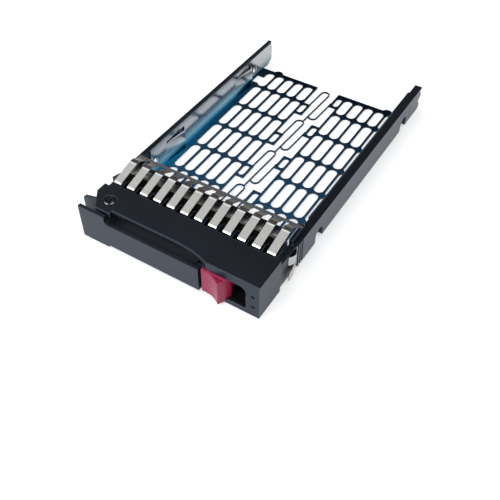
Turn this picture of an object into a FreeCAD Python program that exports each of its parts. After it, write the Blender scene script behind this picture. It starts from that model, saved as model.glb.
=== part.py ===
import FreeCAD, Part
import math
import os
import Sketcher

V = FreeCAD.Vector
doc = FreeCAD.newDocument("drive_carrier")
sheet = doc.addObject("Spreadsheet::Sheet", "Dims")

# Driving dimensions in millimetres, angles in degrees. X runs to the right, Y to the rear and Z up, from the
# middle of the underside. Names that start with a side give the distance from the middle to that side.
DIMENSIONS = {
    # folded steel tray
    "sheet_gauge": 0.6,
    "bay_left": 36.4,
    "bay_right": 33.9,
    "tray_front": 50.0,
    "tray_rear": 59.5,
    "wall_front": 27.0,
    "wall_rear": 67.2,
    "flange_rear": 60.0,
    "flange_step": 46.0,
    "flange_gap": 0.1,
    "wall_height_front": 11.1,
    "wall_height_rear": 10.2,
    "bend_radius": 0.9,
    # floor slots
    "slot_pitch": 5.05,
    "slot_width": 4.1,
    "slot_length": 15.55,
    "row_pitch": 16.32,
    "row_front": 27.57,
    "short_slot_length": 11.4,
    "short_row": 52.05,
    "rear_lug": 27.7,
    "rear_lug_radius": 2.3,
    # flexure along the middle of the floor
    "strip_half": 7.1,
    "strip_front": 38.4,
    "flex_pitch": 24.2,
    "flex_first": 24.9,
    "flex_half": 8.57,
    "flex_radius": 1.85,
    "flex_web": 0.5,
    "flex_tilt": 2.6,
    "flex_shift": 0.3,
    "eye_length": 6.4,
    "eye_width": 2.5,
    "eye_start": 2.8,
    "eye_web": 1.0,
    # lanced tongues and drive screws in the flanges
    "tongue_length": 12.2,
    "tongue_low": 1.8,
    "tongue_high": 8.4,
    "tongue_lean": 1.8,
    "tongue_gap": 1.6,
    "front_tongue": 16.5,
    "rear_tongue": 36.0,
    "relief_front": 47.7,
    "relief_rear": 53.4,
    "relief_left": 35.6,
    "screw_front": 24.6,
    "screw_spacing": 76.6,
    "screw_height": 3.7,
    "screw_hole_radius": 1.65,
    "screw_head_radius": 2.8,
    # plastic rails
    "left_out": 38.4,
    "right_out": 37.7,
    "rail_low": 0.9,
    "rail_lip": 1.2,
    "left_lip": 0.3,
    "left_lip_rear": 20.0,
    "rail_groove": 0.7,
    "rail_groove_depth": 0.4,
    "left_rail_front": 33.0,
    "left_rail_rear": 67.6,
    "right_rail_front": 40.6,
    "right_rail_rear": 69.7,
    "rail_tail": 3.0,
    "lobe_radius": 1.7,
    # light pipes
    "pipe_side": 1.4,
    "pipe_upper": 9.8,
    "pipe_lower": 4.7,
    "pipe_lower_rail": 7.7,
    "pipe_clear": 0.05,
    "pipe_window_radius": 0.9,
    # bezel
    "bezel_top": 15.8,
    "bezel_front": 66.9,
    "bezel_step": 66.0,
    "bezel_rear": 53.0,
    "top_wall": 1.6,
    "floor_wall": 1.3,
    "front_wall": 1.6,
    "lip_line": 64.4,
    "lip_left": 24.2,
    "lip_sweep": 12.2,
    "edge_bevel": 0.3,
    "bezel_left": 35.5,
    "cheek_front": 58.8,
    "cheek_rear": 54.5,
    "nose_left": 30.6,
    "shoulder_left": 32.9,
    "cavity_rear": 57.0,
    "channel_top": 11.0,
    "bar_front": 47.5,
    "bar_rear": 43.0,
    "bar_top": 14.0,
    "arm_inner": 34.4,
    "left_arm_out": 36.7,
    "right_arm_rear": 40.7,
    "arm_top": 12.0,
    "ear_front": 49.2,
    "ear_rear": 41.6,
    "ear_top": 14.3,
    "comb_width": 1.3,
    # sprung contact strip and leaf
    "strip_gauge": 0.3,
    "finger_pitch": 5.93,
    "finger_width": 3.2,
    "finger_tip": 51.2,
    "finger_tip_height": 15.0,
    "finger_lip": 0.5,
    "finger_crest": 40.4,
    "finger_crest_height": 17.3,
    "strip_rear": 34.4,
    "strip_rear_height": 14.9,
    "strip_margin": 1.2,
    "strip_lug": 1.4,
    "strip_leg": 1.7,
    "leaf_front": 48.8,
    "leaf_crest": 44.2,
    "leaf_rear": 41.2,
    "leaf_bulge": 1.2,
    "leaf_gap": 1.9,
    # lever
    "pivot_left": 28.5,
    "pivot_front": 60.5,
    "lever_left": 36.8,
    "lever_right": 14.4,
    "lever_back": 66.8,
    "lever_wall": 1.4,
    "lever_low": 1.2,
    "lever_tall_low": 0.25,
    "lever_high": 12.0,
    "lever_tall_high": 15.2,
    "lever_tall_right": 25.2,
    "hub_radius": 3.1,
    "hub_low": 1.6,
    "hub_high": 10.5,
    "prong_left": 38.9,
    "prong_front": 62.8,
    "prong_thick": 1.5,
    "prong_rise": 2.4,
    "prong_high": 14.0,
    "keeper_low": 5.0,
    "keeper_high": 9.0,
    "keeper_length": 3.4,
    "keeper_depth": 3.6,
    "shelf_right": 10.5,
    "shelf_low": 7.4,
    "shelf_high": 8.6,
    "shelf_depth": 6.2,
    # pivot screw
    "shank_radius": 1.3,
    "running_clear": 0.05,
    "head_radius": 2.2,
    "head_height": 0.85,
    "head_clear": 0.2,
    "cross_width": 0.7,
    "cross_depth": 0.5,
    # release button
    "button_left": 15.2,
    "button_ridge": 22.8,
    "button_shoulder": 24.6,
    "button_right": 25.7,
    "button_nose": 69.6,
    "button_lead": 67.5,
    "button_low": 1.0,
    "button_high": 11.7,
    "scoop_bow": 1.1,
    "ridge_flat": 0.4,
    "button_clear": 0.25,
    "recess_right": 32.5,
    "recess_low": 2.2,
    "recess_high": 12.5,
    "recess_corner": 2.4,
    "guide_thick": 2.8,
    "guide_setback": 1.1,
    "tail_thick": 3.2,
    "tail_half": 2.0,
    "tooth_length": 0.5,
    # springs and tray screws
    "wire": 0.4,
    "lever_coil": 2.3,
    "button_coil": 1.3,
    "tray_screw_side": 20.0,
    "tray_screw_row": 45.3,
    "tray_screw_radius": 0.95,
    "tray_screw_sink": 0.4,
    "tray_screw_length": 6.0,
}


class Size:
    """A size with its value and the sheet expression that gives it."""

    def __init__(self, value, text):
        self.value = value
        self.text = text

    def __add__(self, other):
        other = size(other)
        return Size(self.value + other.value, "(%s + %s)" % (self.text, other.text))

    def __sub__(self, other):
        other = size(other)
        return Size(self.value - other.value, "(%s - %s)" % (self.text, other.text))

    def __mul__(self, other):
        other = size(other)
        return Size(self.value * other.value, "(%s * %s)" % (self.text, other.text))

    def __truediv__(self, other):
        other = size(other)
        return Size(self.value / other.value, "(%s / %s)" % (self.text, other.text))

    def __neg__(self):
        return Size(-self.value, "(0 - %s)" % self.text)


def size(thing):
    """A plain number as a Size; a Size as it is."""
    if isinstance(thing, Size):
        return thing
    return Size(float(thing), "(0 + %.6f)" % thing if thing >= 0 else "(0 - %.6f)" % -thing)


def fill_sheet():
    """Write the driving dimensions to the sheet and hand them back as sizes by name."""
    for row, (alias, number) in enumerate(DIMENSIONS.items(), start=1):
        cell = "A%d" % row
        sheet.set(cell, str(number))
        sheet.setAlias(cell, alias)
    doc.recompute()
    return {alias: Size(float(sheet.get(alias)), "Dims." + alias) for alias in DIMENSIONS}


D = fill_sheet()
SUB_PARTS = []
AXIS_SIGN = {"XY_Plane": 1, "XZ_Plane": -1, "YZ_Plane": 1}


def new_body(label):
    """An empty body that becomes one sub-part."""
    body = doc.addObject("PartDesign::Body", label)
    body.Label = label
    body.Placement = FreeCAD.Placement()
    SUB_PARTS.append(body)
    return body


def origin_feature(body, role):
    """The body's own origin plane or axis with this role."""
    return next(f for f in body.Origin.OriginFeatures if f.Role == role)


def new_sketch(body, role, at, shift=None, turn=None):
    """A sketch parallel to an origin plane, at a place along that plane's axis."""
    sketch = body.newObject("Sketcher::SketchObject", "Sketch")
    sketch.AttachmentSupport = [(origin_feature(body, role), "")]
    sketch.MapMode = "FlatFace"
    level = size(at) * AXIS_SIGN[role]
    sketch.setExpression("AttachmentOffset.Base.z", level.text)
    if shift is not None:
        sketch.setExpression("AttachmentOffset.Base.x", size(shift[0]).text)
        sketch.setExpression("AttachmentOffset.Base.y", size(shift[1]).text)
    if turn is not None:
        sketch.setExpression("AttachmentOffset.Rotation.Angle", turn.text)
    return sketch


def bind(sketch, constraint, expression):
    """Add a constraint and tie its value to the sheet."""
    index = sketch.addConstraint(constraint)
    sketch.setExpression("Constraints[%d]" % index, expression)


def pin(sketch, geometry, point, x, y):
    """Tie a point of the sketch to two sizes."""
    bind(sketch, Sketcher.Constraint("DistanceX", -1, 1, geometry, point, x.value), x.text)
    bind(sketch, Sketcher.Constraint("DistanceY", -1, 1, geometry, point, y.value), y.text)


def arc_between(start, end, middle, turn_left):
    """An arc from start to end about a middle."""
    radius = (start - middle).Length
    first, last = (start, end) if turn_left else (end, start)
    east = V(1, 0, 0)
    angles = []
    for point in (first, last):
        ray = point - middle
        angle = east.getAngle(ray)
        angles.append(angle if ray.y >= 0 else -angle)
    circle = Part.Circle(middle, V(0, 0, 1), radius)
    return Part.ArcOfCircle(circle, angles[0], angles[1])


def profile(sketch, corners):
    """A closed outline. A corner is (x, y), or (x, y, cx, cy, turn_left) where an arc about c follows it."""
    places = [(size(c[0]), size(c[1])) for c in corners]
    points = [V(x.value, y.value, 0) for x, y in places]
    count = len(corners)
    base = sketch.GeometryCount
    ends = []
    for i, corner in enumerate(corners):
        start, end = points[i], points[(i + 1) % count]
        if len(corner) == 2:
            sketch.addGeometry(Part.LineSegment(start, end), False)
            ends.append((1, 2))
            continue
        middle = V(size(corner[2]).value, size(corner[3]).value, 0)
        sketch.addGeometry(arc_between(start, end, middle, corner[4]), False)
        ends.append((1, 2) if corner[4] else (2, 1))
    for i in range(count):
        j = (i + 1) % count
        sketch.addConstraint(Sketcher.Constraint("Coincident", base + i, ends[i][1], base + j, ends[j][0]))
    for i, corner in enumerate(corners):
        pin(sketch, base + i, ends[i][0], *places[i])
        if len(corner) > 2:
            chord = points[(i + 1) % count] - points[i]
            if abs(chord.x) > abs(chord.y):
                middle_y = size(corner[3])
                level = Sketcher.Constraint("DistanceY", -1, 1, base + i, 3, middle_y.value)
                bind(sketch, level, middle_y.text)
            else:
                middle_x = size(corner[2])
                level = Sketcher.Constraint("DistanceX", -1, 1, base + i, 3, middle_x.value)
                bind(sketch, level, middle_x.text)


def circle(sketch, x, y, radius):
    """A full circle."""
    x, y, radius = size(x), size(y), size(radius)
    index = sketch.addGeometry(Part.Circle(V(x.value, y.value, 0), V(0, 0, 1), radius.value), False)
    pin(sketch, index, 3, x, y)
    bind(sketch, Sketcher.Constraint("Radius", index, radius.value), radius.text)


def box_corners(x0, x1, y0, y1):
    """The four corners of an upright rectangle."""
    return [(x0, y0), (x1, y0), (x1, y1), (x0, y1)]


def arc_corners(x, y, radius, start, sweep, facets):
    """Corners along an arc about a middle; angles in degrees."""
    corners = []
    for step in range(facets + 1):
        angle = math.radians(start + sweep * step / facets)
        corners.append((size(x) + size(radius) * math.cos(angle), size(y) + size(radius) * math.sin(angle)))
    return corners


END_FACETS = 6


def slot_corners(x, y, width, length):
    """A slot along Y with round ends."""
    r = size(width) / 2
    reach = size(length) / 2 - r
    return (arc_corners(x, size(y) + reach, r, 0, 180, END_FACETS)
            + arc_corners(x, size(y) - reach, r, 180, 180, END_FACETS))


def add(body, sketch, length):
    """Pad a sketch along its normal: up for XY, right for YZ, forward for XZ."""
    pad = body.newObject("PartDesign::Pad", "Pad")
    pad.Profile = sketch
    pad.setExpression("Length", size(length).text)
    doc.recompute()
    return pad


def cut(body, sketch, length):
    """Pocket a sketch against its normal: down for XY, left for YZ, rearward for XZ."""
    before = body.Shape.Volume
    pocket = body.newObject("PartDesign::Pocket", "Pocket")
    pocket.Profile = sketch
    pocket.setExpression("Length", size(length).text)
    doc.recompute()
    if body.Shape.Volume >= before:
        raise ValueError("a pocket of %s cuts nothing" % body.Label)
    return pocket


def add_block(body, x, y, z):
    """A block between pairs of sizes."""
    sketch = new_sketch(body, "XY_Plane", z[0])
    profile(sketch, box_corners(x[0], x[1], y[0], y[1]))
    return add(body, sketch, size(z[1]) - z[0])


def cut_block(body, x, y, z):
    """A block-shaped cut between pairs of sizes."""
    sketch = new_sketch(body, "XY_Plane", z[1])
    profile(sketch, box_corners(x[0], x[1], y[0], y[1]))
    return cut(body, sketch, size(z[1]) - z[0])


def repeat(body, features, role, count, pitch):
    """Repeat features along one of the body's axes."""
    pattern = body.newObject("PartDesign::LinearPattern", "Pattern")
    pattern.Originals = features
    pattern.Direction = (origin_feature(body, role), [""])
    pattern.Occurrences = count
    pattern.setExpression("Length", (size(pitch) * (count - 1)).text)
    body.Tip = pattern
    doc.recompute()
    return pattern


def repeat_grid(body, features, columns, column_pitch, rows, row_pitch):
    """Repeat features in columns and rows, and mirror them to the other side of the middle."""
    grid = body.newObject("PartDesign::MultiTransform", "Grid")
    steps = []
    for count, pitch, role in ((columns, column_pitch, "X_Axis"), (rows, row_pitch, "Y_Axis")):
        if count < 2:
            continue
        step = doc.addObject("PartDesign::LinearPattern", "Step")
        body.addObject(step)
        step.Direction = (origin_feature(body, role), [""])
        step.Occurrences = count
        step.setExpression("Length", (size(pitch) * (count - 1)).text)
        steps.append(step)
    mirror = doc.addObject("PartDesign::Mirrored", "Mirror")
    body.addObject(mirror)
    mirror.MirrorPlane = (origin_feature(body, "YZ_Plane"), [""])
    grid.Originals = features
    grid.Refine = False
    grid.Transformations = steps + [mirror]
    body.Tip = grid
    doc.recompute()
    return grid


def edge_names(tip, wanted):
    """Names of a feature's edges that a test picks."""
    return ["Edge%d" % (i + 1) for i, edge in enumerate(tip.Shape.Edges) if wanted(edge)]


def round_edges(body, radius, wanted):
    """Fillet the edges of the body's tip that a test picks."""
    tip = body.Tip
    names = edge_names(tip, wanted)
    fillet = body.newObject("PartDesign::Fillet", "Fillet")
    fillet.Base = (tip, names)
    fillet.setExpression("Radius", size(radius).text)
    doc.recompute()
    return fillet


def bevel_edges(body, length, wanted):
    """Chamfer the edges of the body's tip that a test picks."""
    tip = body.Tip
    names = edge_names(tip, wanted)
    bevel = body.newObject("PartDesign::Chamfer", "Bevel")
    bevel.Base = (tip, names)
    bevel.setExpression("Size", size(length).text)
    doc.recompute()
    return bevel


def is_rim(edge, radius, z):
    """Whether an edge is a level circle of this radius at this height."""
    box = edge.BoundBox
    near = 1e-4
    return (isinstance(edge.Curve, Part.Circle) and abs(edge.Curve.Radius - radius.value) < near
            and abs(box.ZMin - z.value) < near and abs(box.ZMax - z.value) < near)


def along_y(edge, x, z):
    """Whether an edge runs along Y at this x and z."""
    box = edge.BoundBox
    near = 1e-4
    return (box.XLength < near and box.ZLength < near and box.YLength > near
            and abs(box.XMin - x.value) < near and abs(box.ZMin - z.value) < near)


COLUMNS_EACH_SIDE = 5
FIRST_COLUMN = 2
LONG_ROWS = 5
FLEX_UNITS = 4


def rail_height(y, rise=0.0):
    """Height of the side walls at a place along Y: they fall a little to the rear."""
    fall = (D["wall_height_front"] - D["wall_height_rear"]) / (D["wall_rear"] + D["wall_front"])
    return D["wall_height_front"] - fall * (size(y) + D["wall_front"]) + rise


def tray_walls(tray):
    """The two flanges folded up from the floor."""
    front = -D["wall_front"]
    left = new_sketch(tray, "YZ_Plane", -D["bay_left"] - D["sheet_gauge"])
    slant = D["wall_height_rear"] / 3
    profile(left, [(front, 0), (D["wall_rear"] - slant, 0), (D["wall_rear"], slant / 2),
                   (D["wall_rear"], rail_height(D["wall_rear"]) - slant / 2),
                   (D["wall_rear"] - slant / 2, rail_height(D["wall_rear"])), (front, rail_height(front))])
    add(tray, left, D["sheet_gauge"])
    right = new_sketch(tray, "YZ_Plane", D["bay_right"])
    rear, step = D["flange_rear"], D["flange_step"]
    rise = D["rail_lip"] - D["flange_gap"]
    profile(right, [(front, 0), (rear, 0), (rear, rail_height(rear)), (step, rail_height(step)),
                    (step, rail_height(step, rise)), (front, rail_height(front, rise))])
    add(tray, right, D["sheet_gauge"])


def tray_floor(tray):
    """The flat floor with two rounded lugs at its rear edge."""
    floor = new_sketch(tray, "XY_Plane", 0)
    profile(floor, box_corners(-D["bay_left"] - D["sheet_gauge"], D["bay_right"] + D["sheet_gauge"],
                               -D["tray_front"], D["tray_rear"]))
    add(tray, floor, D["sheet_gauge"])
    lug_y = D["tray_rear"] - D["rear_lug_radius"] / 3
    for side in (-1, 1):
        lug = new_sketch(tray, "XY_Plane", 0)
        circle(lug, D["rear_lug"] * side, lug_y, D["rear_lug_radius"])
        add(tray, lug, D["sheet_gauge"])


def slot_rows(tray, y, length, rows):
    """Rows of slots in mirrored columns, from the row at y to the rear."""
    slot = new_sketch(tray, "XY_Plane", D["sheet_gauge"])
    profile(slot, slot_corners(D["slot_pitch"] * FIRST_COLUMN, y, D["slot_width"], length))
    first = cut(tray, slot, D["sheet_gauge"])
    repeat_grid(tray, [first], COLUMNS_EACH_SIDE, D["slot_pitch"], rows, D["row_pitch"])


def tray_relief(tray):
    """The cut-out in the floor beside the rear drive screw on the left."""
    right = D["slot_pitch"] * (FIRST_COLUMN + COLUMNS_EACH_SIDE - 1)
    cut_block(tray, (-D["relief_left"], -right), (D["relief_front"], D["relief_rear"]), (0, D["sheet_gauge"]))


BEND_FACETS = 8


def s_link_corners():
    """One S of the flexure: up a left web, over, down the middle rib, under, and up a right web."""
    r, half, w = D["flex_radius"], D["flex_half"], D["flex_web"] / 2
    foot = D["eye_start"] + D["eye_length"] / 4
    outer, inner = r + w, r - w
    return ([(r * -2 - w, -foot), (r * -2 + w, -foot)]
            + arc_corners(-r, half, inner, 180, -180, BEND_FACETS)
            + arc_corners(r, -half, outer, 180, 180, BEND_FACETS)
            + [(r * 2 + w, foot), (r * 2 - w, foot)]
            + arc_corners(r, -half, inner, 360, -180, BEND_FACETS)
            + arc_corners(-r, half, outer, 0, 180, BEND_FACETS))


def tray_flexure(tray):
    """Open the middle of the floor and bridge it with a chain of S-links and slotted feet."""
    cut_block(tray, (-D["strip_half"], D["strip_half"]),
              (-D["strip_front"], D["tray_rear"] + D["rear_lug_radius"]), (0, D["sheet_gauge"]))
    first = -D["flex_first"]
    eye_in = D["strip_half"] - D["eye_width"]
    foot_in = eye_in - D["eye_web"]
    root = D["strip_half"] + D["eye_web"] / 2
    near = D["eye_start"] - D["eye_web"]
    far = D["eye_start"] + D["eye_length"] + D["eye_web"]
    feet = [add_block(tray, (-root, -foot_in), (first - far, first - near), (0, D["sheet_gauge"])),
            add_block(tray, (foot_in, root), (first + near, first + far), (0, D["sheet_gauge"]))]
    links = new_sketch(tray, "XY_Plane", 0, (-D["flex_shift"], first), -D["flex_tilt"])
    profile(links, s_link_corners())
    rib = new_sketch(tray, "XY_Plane", 0, (-D["flex_shift"], first), -D["flex_tilt"])
    rib_end = D["flex_pitch"] - D["flex_half"] - D["flex_radius"]
    profile(rib, box_corners(-D["flex_web"] / 2, D["flex_web"] / 2, -rib_end, -D["flex_half"]))
    webs = [add(tray, links, D["sheet_gauge"]), add(tray, rib, D["sheet_gauge"])]
    repeat(tray, feet + webs, "Y_Axis", FLEX_UNITS, D["flex_pitch"])
    last = first + D["flex_pitch"] * (FLEX_UNITS - 1)
    add_block(tray, (foot_in, root), (last + near, D["tray_rear"]), (0, D["sheet_gauge"]))
    eyes = []
    eye_x = D["strip_half"] - D["eye_width"] / 2
    eye_y = D["eye_start"] + D["eye_length"] / 2
    for side in (-1, 1):
        eye = new_sketch(tray, "XY_Plane", D["sheet_gauge"])
        profile(eye, slot_corners(eye_x * side, first + eye_y * side, D["eye_width"], D["eye_length"]))
        eyes.append(cut(tray, eye, D["sheet_gauge"]))
    repeat(tray, eyes, "Y_Axis", FLEX_UNITS, D["flex_pitch"])


def tray_tongues(tray):
    """Two sprung tongues lanced out of the left wall; toward the rear they lean into the bay."""
    outer = -D["bay_left"] - D["sheet_gauge"]
    margin = D["tongue_gap"] / 2
    for root in (-D["front_tongue"], D["rear_tongue"]):
        end = root + D["tongue_length"]
        window = new_sketch(tray, "YZ_Plane", -D["bay_left"])
        profile(window, box_corners(root, end, D["tongue_low"], D["tongue_high"]))
        cut(tray, window, D["sheet_gauge"])
        heel = root - margin
        tip = end - D["tongue_gap"]
        tongue = new_sketch(tray, "XY_Plane", D["tongue_low"] + margin)
        profile(tongue, [(outer, heel), (-D["bay_left"], heel), (-D["bay_left"] + D["tongue_lean"], tip),
                         (outer + D["tongue_lean"], tip)])
        add(tray, tongue, D["tongue_high"] - D["tongue_low"] - margin * 2)


def screw_places():
    """Where the drive's side screws sit along Y."""
    return (-D["screw_front"], D["screw_spacing"] - D["screw_front"])


def tray_screw_seats(tray):
    """Countersunk holes for the screws that hold the bezel."""
    seats = new_sketch(tray, "XY_Plane", D["sheet_gauge"])
    for side in (-1, 1):
        circle(seats, D["tray_screw_side"] * side, -D["tray_screw_row"], D["tray_screw_radius"])
    cut(tray, seats, D["sheet_gauge"])
    bevel_edges(tray, D["tray_screw_sink"], lambda e: is_rim(e, D["tray_screw_radius"], size(0)))


def make_base_tray():
    """One folded sheet: floor, flanges, tongues, screw holes, flexure and slots."""
    tray = new_body("base_tray")
    tray_floor(tray)
    tray_walls(tray)
    left_out = -D["bay_left"] - D["sheet_gauge"]
    right_out = D["bay_right"] + D["sheet_gauge"]
    level = size(0)
    round_edges(tray, D["bend_radius"], lambda e: along_y(e, left_out, level) or along_y(e, right_out, level))
    tray_tongues(tray)
    for face in (-D["bay_left"], right_out):
        holes = new_sketch(tray, "YZ_Plane", face)
        for y in screw_places():
            circle(holes, y, D["screw_height"], D["screw_hole_radius"])
        cut(tray, holes, D["sheet_gauge"])
    tray_screw_seats(tray)
    tray_relief(tray)
    tray_flexure(tray)
    slot_rows(tray, D["short_row"], D["short_slot_length"], 1)
    slot_rows(tray, -D["row_front"], D["slot_length"], LONG_ROWS)


def screw_notch(low):
    """Outline of the cut-out that lets a drive screw's head through a rail, around each screw."""
    outlines = []
    r = D["screw_head_radius"]
    for y in screw_places():
        z = D["screw_height"]
        outlines.append([(y - r, low), (y + r, low), (y + r, z, y, z, True), (y - r, z)])
    return outlines


def make_left_rail():
    """Thin runner outside the left flange; at the front its lip covers the flange's top edge."""
    rail = new_body("left_rail")
    front, rear = -D["left_rail_front"], D["left_rail_rear"]
    tail = D["rail_tail"]
    side = new_sketch(rail, "YZ_Plane", -D["left_out"])
    profile(side, [(front, D["rail_low"]), (rear - tail, D["rail_low"]), (rear, D["rail_low"] + tail),
                   (rear, rail_height(rear, D["left_lip"])), (front, rail_height(front, D["left_lip"]))])
    add(rail, side, D["left_out"] - D["bay_left"] - D["sheet_gauge"])
    lip = new_sketch(rail, "YZ_Plane", -D["left_out"])
    lip_rear = -D["left_lip_rear"]
    rise = D["left_lip"]
    profile(lip, [(front, rail_height(front)), (lip_rear, rail_height(lip_rear)),
                  (lip_rear, rail_height(lip_rear, rise)), (front, rail_height(front, rise))])
    add(rail, lip, D["left_out"] - D["bay_left"])
    notch = new_sketch(rail, "YZ_Plane", -D["bay_left"])
    for outline in screw_notch(D["rail_low"] / 2):
        profile(notch, outline)
    cut(rail, notch, D["left_out"] - D["bay_left"])


def make_right_rail():
    """Thick runner outside the right flange: a lip over it, a groove for the light pipes, two rear lobes."""
    rail = new_body("right_rail")
    front, rear, low = -D["right_rail_front"], D["right_rail_rear"], D["rail_low"]
    tail, r = D["rail_tail"], D["lobe_radius"]
    inner = D["bay_right"] + D["sheet_gauge"]
    top = rail_height(rear, D["rail_lip"])
    waist = rear - r
    side = new_sketch(rail, "YZ_Plane", inner)
    profile(side, [(front, low), (waist, low, waist, low + r, True), (waist, low + r * 2),
                   (waist, low + r * 3, waist, low + r * 4, True), (waist, low + r * 5),
                   (rear, top), (front, rail_height(front, D["rail_lip"]))])
    add(rail, side, D["right_out"] - inner)
    lip = new_sketch(rail, "YZ_Plane", D["bay_right"])
    lip_front, lip_rear = D["flange_step"] + D["flange_gap"], D["flange_rear"] + tail
    profile(lip, [(lip_front, rail_height(lip_front)), (lip_rear, rail_height(lip_rear)),
                  (lip_rear, rail_height(lip_rear, D["rail_lip"])),
                  (lip_front, rail_height(lip_front, D["rail_lip"]))])
    add(rail, lip, D["right_out"] - D["bay_right"])
    half = D["pipe_side"] / 2 + D["pipe_clear"]
    deep = D["pipe_side"] + D["pipe_clear"]
    groove = new_sketch(rail, "YZ_Plane", inner + deep)
    jog_front, jog_rear = pipe_jog()
    upper, lower, lower_front = D["pipe_upper"], D["pipe_lower_rail"], D["pipe_lower"]
    past = D["rail_tail"]
    profile(groove, [(front - past, lower_front - half), (jog_front, lower_front - half),
                     (jog_rear, lower - half), (rear + past, lower - half), (rear + past, upper + half),
                     (front - past, upper + half)])
    cut(rail, groove, deep)
    notch = new_sketch(rail, "YZ_Plane", D["right_out"])
    for outline in screw_notch(low / 2):
        profile(notch, outline)
    cut(rail, notch, D["right_out"] - inner)
    for place in (1, 3):
        near = front + D["rail_groove"] * (place + 0.5)
        cut_block(rail, (D["right_out"] - D["rail_groove_depth"], D["right_out"] + D["rail_groove_depth"]),
                  (near, near + D["rail_groove"]), (0, D["wall_height_front"] + D["rail_lip"] * 2))


def pipe_jog():
    """Where the lower light pipe climbs over the front drive screw."""
    head = D["screw_head_radius"] * 2
    return -D["right_rail_front"] + D["rail_tail"] / 2, -D["screw_front"] - head


def make_light_pipes():
    """Two clear bars from the windows in the bezel to the rear end of the right rail."""
    inner = D["bay_right"] + D["sheet_gauge"] + D["pipe_clear"] / 2
    half = D["pipe_side"] / 2
    front = -D["bezel_front"] + D["front_wall"]
    rear = D["right_rail_rear"] - D["lobe_radius"]
    upper = new_body("light_pipe_upper")
    z = D["pipe_upper"]
    side = new_sketch(upper, "YZ_Plane", inner)
    profile(side, [(front, z - half), (rear, z - half), (rear, z + half), (front, z + half)])
    add(upper, side, D["pipe_side"])
    lower = new_body("light_pipe_lower")
    jog_front, jog_rear = pipe_jog()
    z, high = D["pipe_lower"], D["pipe_lower_rail"]
    side = new_sketch(lower, "YZ_Plane", inner)
    profile(side, [(front, z - half), (jog_front, z - half), (jog_rear, high - half), (rear, high - half),
                   (rear, high + half), (jog_rear, high + half), (jog_front, z + half), (front, z + half)])
    add(lower, side, D["pipe_side"])


def bezel_shell(bezel):
    """The outer block of the housing with the room for the lever inside it."""
    shell = new_sketch(bezel, "XY_Plane", 0)
    slope_end = D["button_left"] + D["front_wall"]
    profile(shell, [(-D["shoulder_left"], -D["bezel_rear"]), (-D["shoulder_left"], -D["cheek_rear"]),
                    (-D["bezel_left"], -D["cheek_rear"]), (-D["bezel_left"], -D["cheek_front"]),
                    (-D["nose_left"], -D["bezel_step"]), (D["lever_right"], -D["bezel_step"]),
                    (slope_end, -D["bezel_front"]), (D["right_out"], -D["bezel_front"]),
                    (D["right_out"], -D["bezel_rear"])])
    add(bezel, shell, D["bezel_top"])
    ceiling = D["bezel_top"] - D["top_wall"]
    room = new_sketch(bezel, "XY_Plane", ceiling)
    out = D["bezel_left"] + D["front_wall"]
    front = -D["bezel_front"] - D["front_wall"]
    right = D["button_left"] - D["button_clear"]
    back = -D["bezel_rear"]
    prong_room = -D["pivot_left"] - D["running_clear"] * 10
    profile(room, [(-out, front), (right, front), (right, -D["cavity_rear"]),
                   (prong_room, -D["cavity_rear"]), (prong_room, back), (-out, back)])
    cut(bezel, room, ceiling - D["floor_wall"])


def bezel_lip(bezel):
    """The finger recess: the top wall steps back behind the lever and sweeps forward again at the right."""
    lip = new_sketch(bezel, "XY_Plane", D["bezel_top"])
    right, sweep = D["lever_right"], D["lip_sweep"]
    rise = D["bezel_step"] - D["lip_line"]
    front = -D["bezel_front"] - D["front_wall"]
    bend = right - sweep
    radius = (sweep * sweep + rise * rise) / (rise * 2)
    profile(lip, [(-D["lip_left"], front), (right, front),
                  (right, -D["bezel_step"], bend, -D["lip_line"] - radius, True),
                  (bend, -D["lip_line"]), (-D["lip_left"], -D["lip_line"])])
    cut(bezel, lip, D["top_wall"])
    near = 1e-4
    top, back = D["bezel_top"].value - near, near - D["lip_line"].value
    bevel_edges(bezel, D["edge_bevel"], lambda e: e.BoundBox.ZMin > top and e.BoundBox.YMax < back)


def bezel_button_room(bezel):
    """The button's window in the front wall and the wider guide room behind it."""
    left, right = D["lever_right"], D["recess_right"]
    low, high, r = D["recess_low"], D["recess_high"], D["recess_corner"]
    window = new_sketch(bezel, "XZ_Plane", -D["bezel_front"])
    profile(window, [(left, low), (right, low), (right, high - r, right - r, high - r, True),
                     (right - r, high), (left, high)])
    cut(bezel, window, D["front_wall"])
    ceiling = D["bezel_top"] - D["top_wall"]
    wall_back = -D["bezel_front"] + D["front_wall"]
    room_back = wall_back + D["guide_thick"] + D["tail_thick"] + D["button_clear"] * 2
    stop = D["button_left"] - D["button_clear"]
    cut_block(bezel, (stop, right + D["floor_wall"] / 2), (wall_back, room_back), (D["floor_wall"], ceiling))


FINGERS = 12


def finger_reach():
    """From the middle to the outer edge of the last contact finger."""
    return D["finger_pitch"] * (FINGERS - 1) / 2 + D["finger_width"] / 2


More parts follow.
